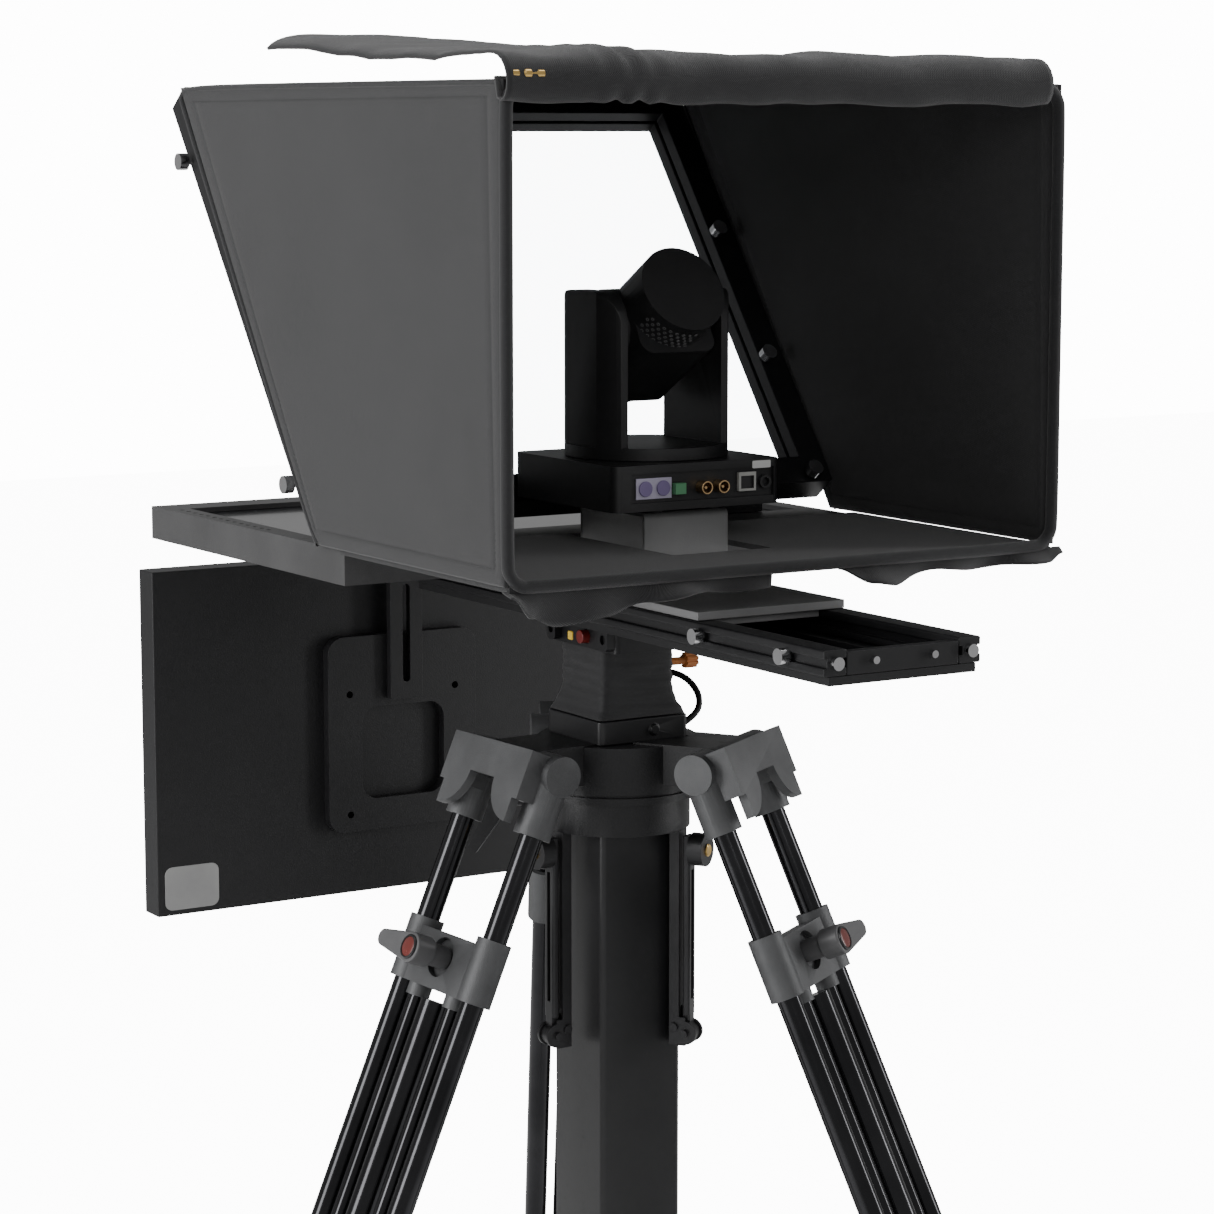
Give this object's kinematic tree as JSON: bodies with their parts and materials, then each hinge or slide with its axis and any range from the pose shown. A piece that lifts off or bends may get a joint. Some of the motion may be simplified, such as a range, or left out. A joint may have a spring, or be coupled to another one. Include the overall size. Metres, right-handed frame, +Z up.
{
  "type": "teleprompter",
  "caption": "Studio teleprompter: fabric hood with leaning beam-splitter glass over a flat screen, pan-tilt camera inside, hanging monitor, lifting column and tripod.",
  "frame": {"origin": "on the floor, under the axis of the lifting column", "axes": "+Z up along the column, +Y towards the person who reads the text, +X to the camera operator's right"},
  "size_m": [0.6822, 0.7601, 1.2812],
  "materials": {
    "hood_fabric": "dark grey coated fabric over stiff board",
    "frame_black": "matt black powder coat",
    "beam_glass": "clear plate with a faint half-mirror coating",
    "bright_screws": "bright knurled heads",
    "tray_grey": "fine textured grey paint",
    "screen_grey": "anti-glare panel",
    "monitor_black": "satin black paint",
    "bracket_black": "black powder coat",
    "rail_black": "black anodised",
    "riser_grey": "light grey paint",
    "button_red": "moulded",
    "knob_orange": "moulded, fluted",
    "column_black": "satin black anodised look",
    "sleeve_fabric": "pleated coated cloth",
    "cable_black": "matt sheath",
    "hub_black": "satin black casting",
    "casting_grey": "bead-blasted grey casting",
    "tube_dark": "dark polished anodised tube",
    "lever_grey": "moulded wing",
    "foot_rubber": "matt",
    "brace_grey": "dark satin",
    "camera_black": "satin moulded case",
    "lens_glass": "coated front element",
    "port_metal": "plated sockets"
  },
  "bodies": {
    "stand": {"column_tube": "column_black", "column_flange": "column_black", "column_bellows": "sleeve_fabric", "column_cable": "cable_black", "tripod_hub": "hub_black", "brace_rails": "brace_grey"},
    "lift": {"lift_stage": "column_black", "quick_release_block": "rail_black"},
    "release_button": {"quick_release_button": "button_red"},
    "stage_knob": {"stage_lock_knob": "knob_orange"},
    "prompter": {"rail_base_plate": "rail_black", "rail_bars": "rail_black", "rail_screws": "bright_screws", "tray_blocks": "rail_black", "prompter_housing": "tray_grey", "prompter_screen": "screen_grey", "hood_right_panel": "hood_fabric", "hood_left_panel": "hood_fabric", "hood_top_panel": "hood_fabric", "hood_floor_panel": "hood_fabric", "hood_rear_trim": "hood_fabric", "hood_cover": "hood_fabric", "glass_frame": "frame_black", "beamsplitter_glass": "beam_glass", "frame_thumbscrews": "bright_screws", "talent_hanger": "bracket_black"},
    "talent_monitor": {"talent_arm": "bracket_black", "talent_mount_plate": "bracket_black", "talent_housing": "monitor_black", "talent_screen": "screen_grey"},
    "camera_carriage": {"camera_riser": "riser_grey", "camera_base": "camera_black", "camera_ports": "port_metal"},
    "camera_turntable": {"camera_yoke": "camera_black"},
    "camera_barrel": {"camera_head": "camera_black", "camera_lens": "lens_glass"},
    "leg_1_upper": {"leg_1_yoke": "casting_grey", "leg_1_upper_tubes": "tube_dark"},
    "leg_1_middle": {"leg_1_middle_clamp": "casting_grey", "leg_1_middle_stage": "casting_grey"},
    "leg_1_lever": {"leg_1_clamp_lever": "lever_grey"},
    "leg_1_lower": {"leg_1_lower_tube": "tube_dark", "leg_1_foot": "foot_rubber"},
    "brace_1": {"brace_arm_1": "brace_grey"},
    "leg_2_upper": {"leg_2_yoke": "casting_grey", "leg_2_upper_tubes": "tube_dark"},
    "leg_2_middle": {"leg_2_middle_clamp": "casting_grey", "leg_2_middle_stage": "casting_grey"},
    "leg_2_lever": {"leg_2_clamp_lever": "lever_grey"},
    "leg_2_lower": {"leg_2_lower_tube": "tube_dark", "leg_2_foot": "foot_rubber"},
    "brace_2": {"brace_arm_2": "brace_grey"},
    "leg_3_upper": {"leg_3_yoke": "casting_grey", "leg_3_upper_tubes": "tube_dark"},
    "leg_3_middle": {"leg_3_middle_clamp": "casting_grey", "leg_3_middle_stage": "casting_grey"},
    "leg_3_lever": {"leg_3_clamp_lever": "lever_grey"},
    "leg_3_lower": {"leg_3_lower_tube": "tube_dark", "leg_3_foot": "foot_rubber"},
    "brace_3": {"brace_arm_3": "brace_grey"}
  },
  "joints": [
    {"name": "column_lift", "type": "slide", "parent": "stand", "child": "lift", "axis": [0, 0, 1], "range_m": [0, 0.3], "deforming": ["column_bellows"]},
    {"name": "release_press", "type": "slide", "parent": "lift", "child": "release_button", "axis": [1, 0, 0], "range_m": [0, 0.0025], "stiffness_N_per_m": 400, "springref_m": -0.002},
    {"name": "stage_knob_turn", "type": "hinge", "parent": "lift", "child": "stage_knob", "pos_m": [0.03, -0.024, 0.822], "axis": [1, 0, 0], "range_deg": [0, 180]},
    {"name": "rail_slide", "type": "slide", "parent": "lift", "child": "prompter", "axis": [0, 1, 0], "range_m": [-0.05, 0.05]},
    {"name": "talent_tilt", "type": "hinge", "parent": "prompter", "child": "talent_monitor", "pos_m": [0, 0.322, 0.872], "axis": [1, 0, 0], "range_deg": [-15, 15]},
    {"name": "camera_slide", "type": "slide", "parent": "prompter", "child": "camera_carriage", "axis": [0, 1, 0], "range_m": [-0.04, 0.008]},
    {"name": "camera_pan", "type": "hinge", "parent": "camera_carriage", "child": "camera_turntable", "pos_m": [0, -0.04, 0.9815], "axis": [0, 0, 1], "range_deg": [-170, 170]},
    {"name": "camera_tilt", "type": "hinge", "parent": "camera_turntable", "child": "camera_barrel", "pos_m": [0, -0.04, 1.0744], "axis": [1, 0, 0], "range_deg": [-20, 120]},
    {"name": "leg_1_spread", "type": "hinge", "parent": "stand", "child": "leg_1_upper", "pos_m": [-0.08888, -0.00466, 0.752], "axis": [0.0523, -0.9986, 0], "range_deg": [0, 18]},
    {"name": "leg_1_middle_slide", "type": "slide", "parent": "leg_1_upper", "child": "leg_1_middle", "axis": [-0.3982, -0.0209, -0.9171], "range_m": [0, 0.2]},
    {"name": "leg_1_lower_slide", "type": "slide", "parent": "leg_1_middle", "child": "leg_1_lower", "axis": [-0.3982, -0.0209, -0.9171], "range_m": [0, 0.25]},
    {"name": "leg_1_lever_turn", "type": "hinge", "parent": "leg_1_middle", "child": "leg_1_lever", "pos_m": [-0.16085, -0.00843, 0.61759], "axis": [-0.9158, -0.048, 0.3987], "range_deg": [0, 90]},
    {"name": "brace_1_fold", "type": "hinge", "parent": "stand", "child": "brace_1", "pos_m": [-0.05945, -0.00312, 0.54275], "axis": [0.0523, -0.9986, 0], "range_deg": [0, 12]},
    {"name": "leg_2_spread", "type": "hinge", "parent": "stand", "child": "leg_2_upper", "pos_m": [0.04847, -0.07464, 0.752], "axis": [0.8387, 0.5446, 0], "range_deg": [0, 18]},
    {"name": "leg_2_middle_slide", "type": "slide", "parent": "leg_2_upper", "child": "leg_2_middle", "axis": [0.2172, -0.3344, -0.9171], "range_m": [0, 0.2]},
    {"name": "leg_2_lower_slide", "type": "slide", "parent": "leg_2_middle", "child": "leg_2_lower", "axis": [0.2172, -0.3344, -0.9171], "range_m": [0, 0.25]},
    {"name": "leg_2_lever_turn", "type": "hinge", "parent": "leg_2_middle", "child": "leg_2_lever", "pos_m": [0.08773, -0.13509, 0.61759], "axis": [0.4995, -0.7691, 0.3987], "range_deg": [0, 90]},
    {"name": "brace_2_fold", "type": "hinge", "parent": "stand", "child": "brace_2", "pos_m": [0.03242, -0.04993, 0.54275], "axis": [0.8387, 0.5446, 0], "range_deg": [0, 12]},
    {"name": "leg_3_spread", "type": "hinge", "parent": "stand", "child": "leg_3_upper", "pos_m": [0.04041, 0.0793, 0.752], "axis": [-0.891, 0.454, 0], "range_deg": [0, 18]},
    {"name": "leg_3_middle_slide", "type": "slide", "parent": "leg_3_upper", "child": "leg_3_middle", "axis": [0.181, 0.3553, -0.9171], "range_m": [0, 0.2]},
    {"name": "leg_3_lower_slide", "type": "slide", "parent": "leg_3_middle", "child": "leg_3_lower", "axis": [0.181, 0.3553, -0.9171], "range_m": [0, 0.25]},
    {"name": "leg_3_lever_turn", "type": "hinge", "parent": "leg_3_middle", "child": "leg_3_lever", "pos_m": [0.07313, 0.14352, 0.61759], "axis": [0.4163, 0.8171, 0.3987], "range_deg": [0, 90]},
    {"name": "brace_3_fold", "type": "hinge", "parent": "stand", "child": "brace_3", "pos_m": [0.02703, 0.05304, 0.54275], "axis": [-0.891, 0.454, 0], "range_deg": [0, 12]}
  ]
}
